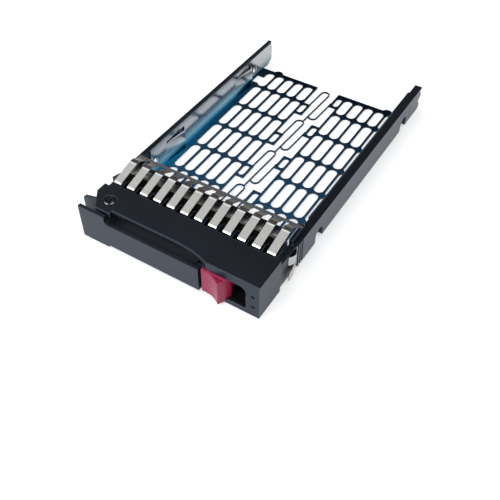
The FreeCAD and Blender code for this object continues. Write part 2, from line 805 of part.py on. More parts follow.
def bezel_rear_frame(bezel):
    """Behind the top wall: a sunk channel with a comb, a bar under the fingers, two arms and an ear."""
    gauge = D["sheet_gauge"]
    inner = D["arm_inner"]
    leaf_seat = D["right_out"] - D["strip_gauge"] * 2
    add_block(bezel, (-D["shoulder_left"], leaf_seat), (-D["bezel_rear"], -D["bar_front"]),
              (gauge, D["channel_top"]))
    add_block(bezel, (-inner, inner), (-D["bar_front"], -D["bar_rear"]), (gauge, D["bar_top"]))
    tooth = D["finger_width"] - finger_reach() - D["comb_width"] / 2
    comb = add_block(bezel, (tooth, tooth + D["comb_width"]), (-D["bezel_rear"], -D["bar_front"]),
                     (D["channel_top"], D["bar_top"]))
    repeat(bezel, [comb], "X_Axis", FINGERS, D["finger_pitch"])
    add_block(bezel, (-D["left_arm_out"], -inner), (-D["bezel_rear"], -D["left_rail_front"]),
              (gauge, D["arm_top"]))
    ear = new_sketch(bezel, "YZ_Plane", -D["left_arm_out"])
    profile(ear, [(-D["ear_front"], D["arm_top"]), (-D["ear_rear"], D["arm_top"]),
                  (-D["ear_front"], D["ear_top"])])
    add(bezel, ear, D["left_arm_out"] - inner)
    add_block(bezel, (inner, leaf_seat), (-D["bezel_rear"], -D["right_arm_rear"]), (gauge, D["arm_top"]))
    seat = D["strip_rear_height"] - D["strip_gauge"]
    seat_rear = -D["strip_rear"] + D["strip_margin"]
    lug = D["strip_lug"]
    post_front = -D["right_arm_rear"] - lug
    over_rail = rail_height(-D["right_rail_front"], D["rail_lip"] + D["left_lip"])
    root = D["arm_top"] - lug
    add_block(bezel, (-inner - lug, -inner), (post_front, seat_rear), (root, seat))
    add_block(bezel, (inner, inner + lug), (post_front, -D["right_arm_rear"]), (root, seat))
    add_block(bezel, (inner, inner + lug), (post_front, seat_rear), (over_rail, seat))


def bezel_bores(bezel):
    """The pivot's seat, the tray screws' holes and the windows and channels of the light pipes."""
    seat = new_sketch(bezel, "XY_Plane", D["bezel_top"])
    seat_radius = D["head_radius"] + D["head_clear"]
    circle(seat, -D["pivot_left"], -D["pivot_front"], seat_radius)
    cut(bezel, seat, D["head_height"] + D["head_clear"])
    bevel_edges(bezel, D["edge_bevel"], lambda e: is_rim(e, seat_radius, D["bezel_top"]))
    bore = new_sketch(bezel, "XY_Plane", D["bezel_top"])
    circle(bore, -D["pivot_left"], -D["pivot_front"], D["shank_radius"])
    cut(bezel, bore, D["bezel_top"])
    holes = new_sketch(bezel, "XY_Plane", D["sheet_gauge"] + D["tray_screw_length"])
    for side in (-1, 1):
        circle(holes, D["tray_screw_side"] * side, -D["tray_screw_row"], D["tray_screw_radius"])
    cut(bezel, holes, D["tray_screw_length"])
    half = D["pipe_side"] / 2
    x = D["bay_right"] + D["sheet_gauge"] + D["pipe_clear"] / 2 + half
    clear = half + D["pipe_clear"]
    for z in (D["pipe_upper"], D["pipe_lower"]):
        window = new_sketch(bezel, "XZ_Plane", -D["bezel_front"])
        circle(window, x, z, D["pipe_window_radius"])
        cut(bezel, window, D["front_wall"])
        channel = new_sketch(bezel, "XZ_Plane", -D["bezel_front"] + D["front_wall"])
        profile(channel, box_corners(x - clear, x + clear, z - clear, z + clear))
        cut(bezel, channel, D["bezel_front"] - D["right_arm_rear"])


def make_bezel():
    """The moulded front housing."""
    bezel = new_body("bezel")
    bezel_shell(bezel)
    bezel_lip(bezel)
    bezel_button_room(bezel)
    bezel_rear_frame(bezel)
    bezel_bores(bezel)


def make_emi_spring_top():
    """A strip bent over its crest, cut into fingers whose tips dip behind the bezel's top wall."""
    strip = new_body("emi_spring_top")
    t = D["strip_gauge"]
    tip, crest = -D["finger_tip"], -D["finger_crest"]
    rear = -D["strip_rear"]
    margin = rear - D["strip_margin"]
    reach = finger_reach()
    tip_z, crest_z, rear_z = D["finger_tip_height"], D["finger_crest_height"], D["strip_rear_height"]
    side = new_sketch(strip, "YZ_Plane", -reach)
    flat, lip = t * 3, D["finger_lip"]
    profile(side, [(tip, tip_z - lip - t), (tip + lip, tip_z - t), (crest - flat, crest_z - t),
                   (crest + flat, crest_z - t), (margin, rear_z - t), (rear, rear_z - t), (rear, rear_z),
                   (margin, rear_z), (crest + flat, crest_z), (crest - flat, crest_z), (tip + lip, tip_z),
                   (tip, tip_z - lip)])
    add(strip, side, reach * 2)
    for edge in (-reach, reach):
        lug = (edge - D["strip_lug"], edge) if edge.value < 0 else (edge, edge + D["strip_lug"])
        add_block(strip, lug, (margin, rear), (rear_z - t, rear_z))
    leg_out = reach - D["strip_margin"]
    leg = D["strip_leg"]
    base_z = D["bar_top"]
    gap = new_sketch(strip, "XY_Plane", crest_z + t)
    half_gap = (D["finger_pitch"] - D["finger_width"]) / 2
    x = -reach + D["finger_width"] + half_gap
    past = D["strip_margin"]
    profile(gap, box_corners(x - half_gap, x + half_gap, tip - past, margin))
    first = cut(strip, gap, crest_z - tip_z + lip + t * 3)
    repeat(strip, [first], "X_Axis", FINGERS - 1, D["finger_pitch"])
    add_block(strip, (-reach, reach), (-D["bar_front"], -D["bar_rear"]), (base_z, base_z + t))
    for near, far in ((-leg_out, -leg_out + leg), (leg_out - leg, leg_out)):
        add_block(strip, (near, far), (-D["bar_rear"] - t, rear), (base_z, base_z + t))
        add_block(strip, (near, far), (margin, rear), (base_z, rear_z))


def make_emi_spring_right():
    """Two bowed fingers that point forward on the right arm of the bezel."""
    leaf = new_body("emi_spring_right")
    t = D["strip_gauge"]
    root = D["right_out"] - t * 2
    crest = root + t + D["leaf_bulge"]
    front, bend, rear = -D["leaf_front"], -D["leaf_crest"], -D["leaf_rear"]
    low, high = D["rail_low"], D["arm_top"] - t
    plan = new_sketch(leaf, "XY_Plane", low)
    profile(plan, [(root, front), (root + t, front), (crest, bend - t), (crest, bend + t),
                   (root + t, rear - t * 2), (root + t, rear), (root, rear), (root, rear - t * 2),
                   (crest - t, bend + t), (crest - t, bend - t)])
    add(leaf, plan, high - low)
    middle = (low + high) / 2
    half = D["leaf_gap"] / 2
    cut_block(leaf, (root - t, crest + t), (front - t, bend + t * 3), (middle - half, middle + half))


def lever_wall(lever):
    """The front wall: low along its length, taller at the left end, with a hollow step between."""
    wall = new_sketch(lever, "XZ_Plane", -D["lever_back"])
    step = D["lever_tall_right"]
    r = D["lever_wall"]
    profile(wall, [(-D["lever_left"], D["lever_tall_low"]), (-step, D["lever_tall_low"]),
                   (-step + r / 2, D["lever_low"]), (D["lever_right"], D["lever_low"]),
                   (D["lever_right"], D["lever_high"]),
                   (-step + r, D["lever_high"], -step + r, D["lever_high"] + r, False),
                   (-step, D["lever_high"] + r),
                   (-step, D["lever_tall_high"]), (-D["lever_left"], D["lever_tall_high"])])
    add(lever, wall, D["lever_wall"])


def make_ejector_lever():
    """Front lever with its hub, the fork that works against the cage and the keeper for the latch."""
    lever = new_body("ejector_lever")
    lever_wall(lever)
    hub = new_sketch(lever, "XY_Plane", D["hub_low"])
    circle(hub, -D["pivot_left"], -D["pivot_front"], D["hub_radius"])
    add(lever, hub, D["hub_high"] - D["hub_low"])
    r = D["hub_radius"]
    add_block(lever, (-D["pivot_left"] - r, -D["pivot_left"] + r), (-D["lever_back"], -D["pivot_front"]),
              (D["hub_low"], D["hub_high"]))
    prong = new_sketch(lever, "XY_Plane", D["hub_low"])
    root = -D["pivot_left"] - r / 3
    near = -D["prong_front"] + D["prong_rise"]
    profile(prong, [(-D["prong_left"], -D["prong_front"]), (root, near), (root, near + D["prong_thick"]),
                    (-D["prong_left"], -D["prong_front"] + D["prong_thick"])])
    add(lever, prong, D["hub_high"] - D["hub_low"])
    ear = new_sketch(lever, "XY_Plane", D["hub_high"])
    ear_right = -D["pivot_left"] - r - D["lever_wall"]
    share = (D["prong_left"] + ear_right) / (D["prong_left"] + root)
    ear_front = -D["prong_front"] + D["prong_rise"] * share
    profile(ear, [(-D["prong_left"], -D["prong_front"]), (ear_right, ear_front),
                  (ear_right, ear_front + D["prong_thick"]),
                  (-D["prong_left"], -D["prong_front"] + D["prong_thick"])])
    add(lever, ear, D["prong_high"] - D["hub_high"])
    add_block(lever, (D["lever_right"] - D["keeper_length"], D["lever_right"]),
              (-D["lever_back"], -D["lever_back"] + D["keeper_depth"]), (D["keeper_low"], D["keeper_high"]))
    add_block(lever, (-D["pivot_left"], D["shelf_right"]),
              (-D["lever_back"], -D["lever_back"] + D["shelf_depth"]), (D["shelf_low"], D["shelf_high"]))
    bore = new_sketch(lever, "XY_Plane", D["hub_high"])
    circle(bore, -D["pivot_left"], -D["pivot_front"], D["shank_radius"] + D["running_clear"])
    cut(lever, bore, D["hub_high"] - D["hub_low"])


def make_pivot_screw():
    """The lever's hinge pin: a shouldered screw with a cross recess, sunk in the bezel's top wall."""
    screw = new_body("pivot_screw")
    x, y = -D["pivot_left"], -D["pivot_front"]
    under_head = D["bezel_top"] - D["head_height"] - D["head_clear"]
    shank = new_sketch(screw, "XY_Plane", D["floor_wall"] / 3)
    circle(shank, x, y, D["shank_radius"])
    add(screw, shank, under_head - D["floor_wall"] / 3)
    head = new_sketch(screw, "XY_Plane", under_head)
    circle(head, x, y, D["head_radius"])
    add(screw, head, D["head_height"])
    top = under_head + D["head_height"]
    arm, half = D["head_radius"] * 0.6, D["cross_width"] / 2
    cut_block(screw, (x - arm, x + arm), (y - half, y + half), (top - D["cross_depth"], top))
    cut_block(screw, (x - half, x + half), (y - arm, y + arm), (top - D["cross_depth"], top))


def make_release_button():
    """Thumb button: a scooped wedge, a stem through the bezel's window, a guide, a tail and a tooth."""
    button = new_body("release_button")
    left, ridge, right = D["button_left"], D["button_ridge"], D["button_right"]
    shoulder, flat = D["button_shoulder"], D["ridge_flat"]
    front_face = -D["bezel_front"] - D["button_clear"]
    lead, nose = -D["button_lead"], -D["button_nose"]
    run, rise, bow = ridge - left, D["button_nose"] - D["button_lead"], D["scoop_bow"]
    scoop_x = (left + ridge) / 2 - rise * bow
    scoop_y = (lead + nose) / 2 - run * bow
    cap = new_sketch(button, "XY_Plane", D["button_low"])
    profile(cap, [(left, front_face), (left, lead, scoop_x, scoop_y, False), (ridge, nose),
                  (ridge + flat, nose), (shoulder, front_face)])
    add(button, cap, D["button_high"] - D["button_low"])
    clear = D["button_clear"]
    window_low, window_high = D["recess_low"] + clear, D["recess_high"] - clear
    wall_back = -D["bezel_front"] + D["front_wall"] + clear
    stem = new_sketch(button, "XY_Plane", window_low)
    profile(stem, [(left, front_face), (shoulder, front_face), (right, wall_back), (left, wall_back)])
    add(button, stem, window_high - window_low)
    ceiling = D["bezel_top"] - D["top_wall"] - clear
    guide_right = right - D["guide_setback"]
    guide_back = wall_back + D["guide_thick"]
    add_block(button, (left, guide_right), (wall_back, guide_back), (D["floor_wall"] + clear, ceiling))
    middle, half = spring_height(), D["tail_half"]
    add_block(button, (left, guide_right), (guide_back, guide_back + D["tail_thick"]),
              (middle - half, middle + half))
    add_block(button, (left - D["tooth_length"], left), (wall_back, guide_back),
              (D["keeper_low"], D["keeper_high"]))


def spring_height():
    """Height of the button's return spring: the middle of its window."""
    return (D["recess_low"] + D["recess_high"]) / 2


COIL_STEPS = 12


def coil(radius, pitch, turns):
    """A helical spring of square wire that climbs along Z from the origin, in short straight steps."""
    points = []
    for step in range(turns * COIL_STEPS + 1):
        angle = 2 * math.pi * step / COIL_STEPS
        points.append(V(radius * math.cos(angle), radius * math.sin(angle), pitch * step / COIL_STEPS))
    half = D["wire"].value / 2
    section = Part.makePolygon([V(radius - half, 0, -half), V(radius + half, 0, -half),
                                V(radius + half, 0, half), V(radius - half, 0, half),
                                V(radius - half, 0, -half)])
    right_corners = 1
    return Part.makePolygon(points).makePipeShell([section], True, False, right_corners)


def new_feature(label, shape, placement):
    """A sub-part whose shape is built in code from the sheet's sizes."""
    feature = doc.addObject("Part::Feature", label)
    feature.Label = label
    feature.Shape = shape
    feature.Placement = placement
    SUB_PARTS.append(feature)


LEVER_TURNS = 3
BUTTON_TURNS = 6


def make_springs():
    """The lever's torsion spring above its hub and the button's return spring."""
    wire = D["wire"]
    room = D["bezel_top"] - D["top_wall"] - D["hub_high"]
    pitch = (room - wire * 2) / LEVER_TURNS
    start = V(-D["pivot_left"].value, -D["pivot_front"].value, (D["hub_high"] + wire).value)
    new_feature("lever_spring", coil(D["lever_coil"].value, pitch.value, LEVER_TURNS),
                FreeCAD.Placement(start, FreeCAD.Rotation()))
    spring_left = D["button_right"] - D["guide_setback"]
    gap = D["recess_right"] + D["floor_wall"] / 2 - spring_left
    pitch = (gap - wire * 1.5) / BUTTON_TURNS
    tail_front = D["front_wall"] + D["button_clear"] + D["guide_thick"] - D["bezel_front"]
    middle = tail_front + D["tail_thick"] / 2
    start = V((spring_left + wire * 0.75).value, middle.value, spring_height().value)
    new_feature("button_spring", coil(D["button_coil"].value, pitch.value, BUTTON_TURNS),
                FreeCAD.Placement(start, FreeCAD.Rotation(V(0, 1, 0), 90)))


def make_bezel_screws():
    """Two countersunk screws from under the floor up into the bezel's cross bar."""
    r, sink = D["tray_screw_radius"].value, D["tray_screw_sink"].value
    clear = D["running_clear"].value
    top = (D["sheet_gauge"] + D["tray_screw_length"]).value - sink
    half_section = Part.makePolygon([V(0, 0, clear), V(r + sink - clear, 0, clear), V(r, 0, sink),
                                     V(r, 0, top), V(0, 0, top), V(0, 0, clear)])
    screws = []
    for side in (-1, 1):
        screw = Part.Face(half_section).revolve(V(0, 0, 0), V(0, 0, 1), 360)
        screw.translate(V(side * D["tray_screw_side"].value, -D["tray_screw_row"].value, 0))
        screws.append(screw)
    new_feature("bezel_screws", Part.makeCompound(screws), FreeCAD.Placement())


def write_parts():
    """Check every object, then write each sub-part."""
    doc.recompute()
    for thing in doc.Objects:
        if "Invalid" in thing.State or "Error" in thing.State:
            raise ValueError("%s is %s" % (thing.Label, thing.State))
    for part in SUB_PARTS:
        if part.Shape.isNull() or not part.Shape.isValid():
            raise ValueError("%s has no valid shape" % part.Label)
    os.makedirs("parts", exist_ok=True)
    for part in SUB_PARTS:
        part.Shape.exportStep("parts/%s.step" % part.Label)


make_base_tray()
make_left_rail()
make_right_rail()
make_light_pipes()
make_bezel()
make_emi_spring_top()
make_emi_spring_right()
make_ejector_lever()
make_pivot_screw()
make_release_button()
make_springs()
make_bezel_screws()
write_parts()
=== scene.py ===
import math

import bmesh
import bpy
from mathutils import Matrix, Vector


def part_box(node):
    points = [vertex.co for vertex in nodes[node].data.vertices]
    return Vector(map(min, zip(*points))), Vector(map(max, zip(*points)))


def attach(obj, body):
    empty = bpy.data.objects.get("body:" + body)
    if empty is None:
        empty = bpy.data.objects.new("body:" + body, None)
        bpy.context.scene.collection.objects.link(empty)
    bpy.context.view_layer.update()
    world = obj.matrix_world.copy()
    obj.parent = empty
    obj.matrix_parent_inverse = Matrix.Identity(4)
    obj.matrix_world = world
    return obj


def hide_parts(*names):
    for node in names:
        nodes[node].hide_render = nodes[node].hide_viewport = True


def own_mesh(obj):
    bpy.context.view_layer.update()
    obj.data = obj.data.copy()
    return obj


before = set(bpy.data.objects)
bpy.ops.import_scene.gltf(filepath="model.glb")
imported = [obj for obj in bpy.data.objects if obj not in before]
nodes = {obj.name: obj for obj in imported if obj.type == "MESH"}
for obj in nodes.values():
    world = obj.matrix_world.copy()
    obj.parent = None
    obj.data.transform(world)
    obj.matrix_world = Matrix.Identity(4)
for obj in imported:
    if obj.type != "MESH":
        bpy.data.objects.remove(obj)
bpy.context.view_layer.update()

MM = 0.001
scene = bpy.context.scene


# Shading

WHITE = (1, 1, 1, 1)
COOL = (0.72, 0.85, 1.0, 1)
EDGE_SAMPLES = 6
# Cosine between a softened edge and its face, where the edge mark (partly wear, partly painted highlight)
# is full and where there is none
WEAR_AND_HIGHLIGHT_COSINES = (0.8, 0.99)
# Range that holds most of a noise's values
NOISE_RANGE = (0.3, 0.7)


def srgb(red, green, blue):
    """A colour given in 0 to 255 display values, as linear light."""
    linear = []
    for channel in (red, green, blue):
        c = channel / 255
        linear.append(c / 12.92 if c <= 0.04045 else ((c + 0.055) / 1.055) ** 2.4)
    return (*linear, 1.0)


class Shader:
    """A node material built one node at a time. Lengths are in metres of the part's own frame."""

    def __init__(self, name):
        self.material = bpy.data.materials.new(name)
        self.material.use_nodes = True
        self.tree = self.material.node_tree
        self.bsdf = self.tree.nodes["Principled BSDF"]
        self.place = self.add("ShaderNodeTexCoord")

    def add(self, kind, **inputs):
        """A node with some of its sockets set."""
        node = self.tree.nodes.new(kind)
        for socket, value in inputs.items():
            node.inputs[socket.replace("_", " ")].default_value = value
        return node

    def link(self, source, target):
        """Join an output socket to an input socket."""
        self.tree.links.new(source, target)

    def set(self, **inputs):
        """Constant values on the surface's own sockets."""
        for socket, value in inputs.items():
            self.bsdf.inputs[socket.replace("_", " ")].default_value = value

    def noise(self, scale, detail, stretch=(1, 1, 1)):
        """Noise with a number of grains a metre, stretched along the axes."""
        mapping = self.add("ShaderNodeMapping", Scale=stretch)
        self.link(self.place.outputs["Object"], mapping.inputs["Vector"])
        noise = self.add("ShaderNodeTexNoise", Scale=scale, Detail=detail)
        self.link(mapping.outputs["Vector"], noise.inputs["Vector"])
        return noise.outputs["Fac"]

    def ramp(self, factor, stops):
        """A colour ramp over a factor; stops are (place, colour)."""
        ramp = self.add("ShaderNodeValToRGB")
        elements = ramp.color_ramp.elements
        while len(elements) < len(stops):
            elements.new(0.5)
        for element, (place, colour) in zip(elements, stops):
            element.position = place
            element.color = colour
        self.link(factor, ramp.inputs["Fac"])
        return ramp.outputs["Color"]

    def tones(self, pattern, dark, light):
        """A colour that drifts between two tones with a noise pattern."""
        return self.ramp(pattern, list(zip(NOISE_RANGE, (dark, light))))

    def span(self, factor, low, high, start=0.0, end=1.0):
        """A factor mapped from one range to another."""
        span = self.add("ShaderNodeMapRange", From_Min=start, From_Max=end, To_Min=low, To_Max=high)
        self.link(factor, span.inputs["Value"])
        return span.outputs["Result"]

    def past(self, axis, start, end):
        """0 before a start on an axis and 1 past an end, with a fade between; both in millimetres."""
        return self.span(axis, 0.0, 1.0, start * MM, end * MM)

    def short_of(self, axis, start, end):
        """1 before a start on an axis and 0 past an end, with a fade between; both in millimetres."""
        return self.span(axis, 1.0, 0.0, start * MM, end * MM)

    def axis(self, source, letter):
        """One axis of the place or of the surface's direction, in the part's frame."""
        axes = self.add("ShaderNodeSeparateXYZ")
        self.link(self.place.outputs[source], axes.inputs["Vector"])
        return axes.outputs[letter]

    def levelness(self):
        """1 on level faces and 0 on upright ones."""
        return self.math("ABSOLUTE", self.axis("Normal", "Z"), 0.0)

    def math(self, operation, first, second):
        """A sum on two factors; the second may be a number."""
        node = self.add("ShaderNodeMath")
        node.operation = operation
        self.link(first, node.inputs[0])
        if isinstance(second, (int, float)):
            node.inputs[1].default_value = second
        else:
            self.link(second, node.inputs[1])
        return node.outputs["Value"]

    def both(self, first, second):
        """The share of a place that lies in two zones at once."""
        return self.math("MULTIPLY", first, second)

    def either(self, first, second):
        """The share of a place that lies in one zone or the other."""
        return self.math("MAXIMUM", first, second)

    def mix(self, factor, first, second, blend="MIX"):
        """Two colours mixed by a factor."""
        node = self.add("ShaderNodeMix")
        node.data_type = "RGBA"
        node.blend_type = blend
        self.link(factor, node.inputs["Factor"])
        for socket, colour in (("A", first), ("B", second)):
            if isinstance(colour, tuple):
                node.inputs[socket].default_value = colour
            else:
                self.link(colour, node.inputs[socket])
        return node.outputs["Result"]

    def edge_wear_and_highlight(self, radius, edge_breakup):
        """How close a place is to an edge, broken up by a pattern; the mark is partly wear and partly
        painted highlight.
        """
        edge = self.add("ShaderNodeBevel", Radius=radius)
        edge.samples = EDGE_SAMPLES
        face = self.add("ShaderNodeNewGeometry")
        dot = self.add("ShaderNodeVectorMath")
        dot.operation = "DOT_PRODUCT"
        self.link(edge.outputs["Normal"], dot.inputs[0])
        self.link(face.outputs["True Normal"], dot.inputs[1])
        near = self.span(dot.outputs["Value"], 1.0, 0.0, *WEAR_AND_HIGHLIGHT_COSINES)
        return self.both(near, self.span(edge_breakup, 0.35, 1.0, *NOISE_RANGE))

    def surface(self, colour, pattern, rough):
        """The surface's colour, and a roughness that follows a pattern between two values."""
        self.link(colour, self.bsdf.inputs["Base Color"])
        self.link(self.span(pattern, *rough), self.bsdf.inputs["Roughness"])

    def bump(self, height, strength, distance, edge_radius):
        """Surface grain over edges that are softened by a radius."""
        edge = self.add("ShaderNodeBevel", Radius=edge_radius)
        edge.samples = EDGE_SAMPLES
        bump = self.add("ShaderNodeBump", Strength=strength, Distance=distance)
        self.link(height, bump.inputs["Height"])
        self.link(edge.outputs["Normal"], bump.inputs["Normal"])
        self.link(bump.outputs["Normal"], self.bsdf.inputs["Normal"])


# Materials. A pair of places is where a zone starts to fade in or out and where it has, in millimetres

# Levelness of a face that counts as upright, and of one that counts as level
UPRIGHT_RANGE = (0.3, 0.7)
LEVER_REAR = (-66.9, -66.6)


def plastic(name, dark, light, worn_and_highlight, rough, gloss, side=None, recess_fill_light=None):
    """Moulded plastic: fine spark-eroded grain, faint cloudiness and lighter edges, partly rubbed wear and
    partly painted highlight.

    Upright faces may have a cool tone of their own, which is a painted reflection, and the lever's rear may
    be painted lighter, as painted fill light in its recess."""
    shader = Shader(name)
    grain = shader.noise(scale=5200, detail=3)
    cloud = shader.noise(scale=60, detail=4)
    rub_and_highlight_pattern = shader.noise(scale=420, detail=4)
    body = shader.tones(cloud, dark, light)
    # Upright faces take a cool tint: painted reflection
    if side:
        upright = shader.span(shader.levelness(), 1.0, 0.0, *UPRIGHT_RANGE)
        body = shader.mix(upright, body, side)
    # The lever behind its front face is painted lighter: painted fill light in its recess
    if recess_fill_light:
        behind = shader.past(shader.axis("Object", "Y"), *LEVER_REAR)
        body = shader.mix(behind, body, recess_fill_light)
    # Lighter edges: partly wear, partly painted highlight
    colour = shader.mix(shader.edge_wear_and_highlight(0.25 * MM, rub_and_highlight_pattern), body, worn_and_highlight)
    shader.surface(colour, grain, rough)
    shader.set(Specular_IOR_Level=gloss, Specular_Tint=COOL)
    shader.bump(grain, strength=0.12, distance=0.06 * MM, edge_radius=0.25 * MM)
    return shader.material


def metal(name, dark, light, worn_and_highlight, rough, stretch):
    """Drawn metal with fine streaks along the way it was worked, its edges lighter: partly rubbed wear,
    partly painted highlight.
    """
    shader = Shader(name)
    streak = shader.noise(scale=900, detail=5, stretch=stretch)
    cloud = shader.noise(scale=45, detail=3)
    body = shader.tones(cloud, dark, light)
    # Lighter edges: partly wear, partly painted highlight
    colour = shader.mix(shader.edge_wear_and_highlight(0.2 * MM, streak), body, worn_and_highlight)
    shader.surface(colour, streak, rough)
    shader.set(Metallic=1.0)
    shader.bump(streak, strength=0.06, distance=0.03 * MM, edge_radius=0.1 * MM)
    return shader.material


FRONT_GLINT_Y = (-62.5, -62.0)
FRONT_GLINT_X = (-28.2, -27.7)
RIGHT_GLINT_X = (-27.2, -26.7)
RIGHT_GLINT_Y = (-60.7, -60.3)


def rim_metal(name):
    """Blackened steel with two painted highlights, one arc in front and one to the right."""
    shader = Shader(name)
    turned = shader.noise(scale=2200, detail=4)
    black = shader.tones(turned, srgb(36, 37, 40), srgb(54, 55, 58))
    across = shader.axis("Object", "X")
    along = shader.axis("Object", "Y")
    # Two painted glints on the rim: one in front, one to the right
    front = shader.both(shader.short_of(along, *FRONT_GLINT_Y), shader.short_of(across, *FRONT_GLINT_X))
    right = shader.both(shader.past(across, *RIGHT_GLINT_X), shader.short_of(along, *RIGHT_GLINT_Y))
    colour = shader.mix(shader.either(front, right), black, srgb(176, 178, 180))
    shader.surface(colour, turned, (0.12, 0.24))
    shader.set(Metallic=1.0)
    shader.bump(turned, strength=0.05, distance=0.02 * MM, edge_radius=0.05 * MM)
    return shader.material


STRIP_SHADED = (-44.3, -43.9)
STRIP_CREST = (-42.0, -41.6)
STRIP_BROWN_BAND = (-41.2, -40.9)
STRIP_SLOPE = (-39.9, -39.3)
STRIP_HEM = (-36, -35.4)
STRIP_PLATE_TOP = (14.3, 14.45)


def contact_metal(name):
    """Brushed spring strip: bright fingers, a painted highlight on the crest, a brown band behind it and a
    pale hem.

    The plate under the fingers is dull, with painted shade where it is sunk in the bezel. The brown band is
    partly heat tint and mostly painted reflection;
    the slope behind the crest mirrors the pale horizon, so it is written darker than the crest's, as
    painted shade."""
    shader = Shader(name)
    brushed = shader.noise(scale=2600, detail=5, stretch=(1, 0.12, 1))
    blotch = shader.noise(scale=160, detail=4)
    along = shader.axis("Object", "Y")
    bright = shader.tones(brushed, srgb(196, 195, 190), srgb(212, 211, 207))
    # A white band on the crest: painted highlight
    crest_highlight = shader.mix(shader.past(along, *STRIP_CREST), bright, srgb(255, 253, 250))
    # The brown band behind the crest: partly heat tint, mostly painted reflection; darker on the slope as
    # painted shade
    crest_tint_and_reflection = shader.tones(blotch, srgb(158, 142, 130), srgb(176, 160, 148))
    slope_tint_and_shade = shader.tones(blotch, srgb(74, 71, 67), srgb(94, 90, 85))
    brown_tint_and_reflection = shader.mix(shader.past(along, *STRIP_SLOPE), crest_tint_and_reflection, slope_tint_and_shade)
    finger = shader.mix(shader.past(along, *STRIP_BROWN_BAND), crest_highlight, brown_tint_and_reflection)
    upper = shader.mix(shader.past(along, *STRIP_HEM), finger, srgb(196, 194, 192))
    dull = shader.tones(blotch, srgb(158, 156, 154), srgb(184, 182, 180))
    # The plate is painted dark where it is sunk in the bezel: painted shade
    plate = shader.mix(shader.short_of(along, *STRIP_SHADED), dull, srgb(40, 39, 39))
    low = shader.short_of(shader.axis("Object", "Z"), *STRIP_PLATE_TOP)
    shader.surface(shader.mix(low, upper, plate), brushed, (0.2, 0.36))
    shader.set(Metallic=1.0)
    shader.bump(brushed, strength=0.08, distance=0.03 * MM, edge_radius=0.08 * MM)
    return shader.material


FLANGE_RISE = (0, 8)
FLANGE_FOOT = (2, 6)
FLANGE_REAR = (45, 52)
FLOOR_RUN = (-20, 58)
FLOOR_MARGIN = (-33, -30.5)
LEFT_BEND = (-36.6, -34.8)
LEFT_BEND_END = (34, 44)
RIGHT_BEND = (31.8, 33.8)
TRAY_FLOOR_TOP = 0.7 * MM
TONGUE_X = -34.7 * MM
TONGUE_REACH = 1.65 * MM
TONGUE_FOOT = 1.5 * MM
LEVEL_LIMIT = 0.5


def tray_wall(shader, along, height):
    """Colour of the flanges: pale blue at the foot, a painted reflection of the floor, and plain steel
    above, with painted shade that dulls it towards the rear end.
    """
    rise = shader.past(height, *FLANGE_RISE)
    # The pale blue at the foot is a painted reflection of the floor
    wall = shader.ramp(rise, [(0.12, srgb(184, 232, 244)), (0.4, srgb(194, 217, 227)),
                              (0.62, srgb(160, 168, 174)), (0.8, srgb(170, 174, 179))])
    # Towards the rear end the flange is painted darker: painted shade
    rear = shader.ramp(rise, [(0.12, srgb(108, 146, 164)), (0.45, srgb(176, 178, 178))])
    return shader.mix(shader.past(along, *FLANGE_REAR), wall, rear)


def tray_plate(shader, across, along):
    """Colour of the floor: blue bars with painted shade that darkens them to the rear, and a deeper margin
    along the left flange that darkens the same way.
    """
    away = shader.past(along, *FLOOR_RUN)
    # The bars and margin darken to the rear: painted shade
    bars = shader.ramp(away, [(0.0, srgb(106, 172, 216)), (1.0, srgb(32, 56, 74))])
    margin = shader.ramp(away, [(0.0, srgb(34, 158, 208)), (0.7, srgb(26, 98, 140)),
                                (1.0, srgb(16, 52, 74))])
    return shader.mix(shader.short_of(across, *FLOOR_MARGIN), bars, margin)


def tray_metal(name):
    """Plated sheet: blue floor, pale matt cyan at the bends that is painted reflection, plain steel above,
    cut edges darkened partly by oxide and partly by painted shade, and painted highlights on the tongues'
    top edges.
    """
    shader = Shader(name)
    streak = shader.noise(scale=900, detail=5, stretch=(1, 0.05, 1))
    spangle = shader.noise(scale=70, detail=4)
    across = shader.axis("Object", "X")
    along = shader.axis("Object", "Y")
    height = shader.axis("Object", "Z")
    level = shader.levelness()

    low = shader.math("LESS_THAN", height, TRAY_FLOOR_TOP)
    left_bend = shader.both(shader.short_of(across, *LEFT_BEND), shader.short_of(along, *LEFT_BEND_END))
    bend = shader.either(left_bend, shader.past(across, *RIGHT_BEND))
    # Pale cyan at the bends: painted reflection
    floor = shader.mix(bend, tray_plate(shader, across, along), srgb(122, 204, 230))
    plated = shader.mix(low, tray_wall(shader, along, height), floor)
    mottle = shader.tones(spangle, srgb(232, 236, 240), WHITE)
    plated = shader.mix(shader.span(streak, 0.4, 1.0), plated, mottle, "MULTIPLY")

    # Cut edges are darkened: partly oxide, partly painted shade
    cut_edge = shader.both(low, shader.math("LESS_THAN", level, LEVEL_LIMIT))
    oxide_and_shade = shader.tones(streak, srgb(18, 30, 44), srgb(34, 50, 66))
    # The tongues' top edges are painted pale: painted highlight
    off_tongue = shader.math("ABSOLUTE", shader.math("SUBTRACT", across, TONGUE_X), 0.0)
    tongue = shader.both(shader.math("LESS_THAN", off_tongue, TONGUE_REACH),
                         shader.math("GREATER_THAN", height, TONGUE_FOOT))
    tongue_highlight = shader.both(tongue, shader.math("GREATER_THAN", level, LEVEL_LIMIT))
    colour = shader.mix(tongue_highlight, shader.mix(cut_edge, plated, oxide_and_shade), srgb(226, 226, 226))
    shader.surface(colour, streak, (0.12, 0.26))

    # The foot and bends turn matt so that their painted pale reflection shows
    foot = shader.short_of(height, *FLANGE_FOOT)
    matt = shader.both(foot, shader.either(bend, shader.math("SUBTRACT", foot, low)))
    shader.link(shader.span(shader.either(matt, tongue_highlight), 1.0, 0.05), shader.bsdf.inputs["Metallic"])
    shader.bump(streak, strength=0.05, distance=0.03 * MM, edge_radius=0.1 * MM)
    return shader.material


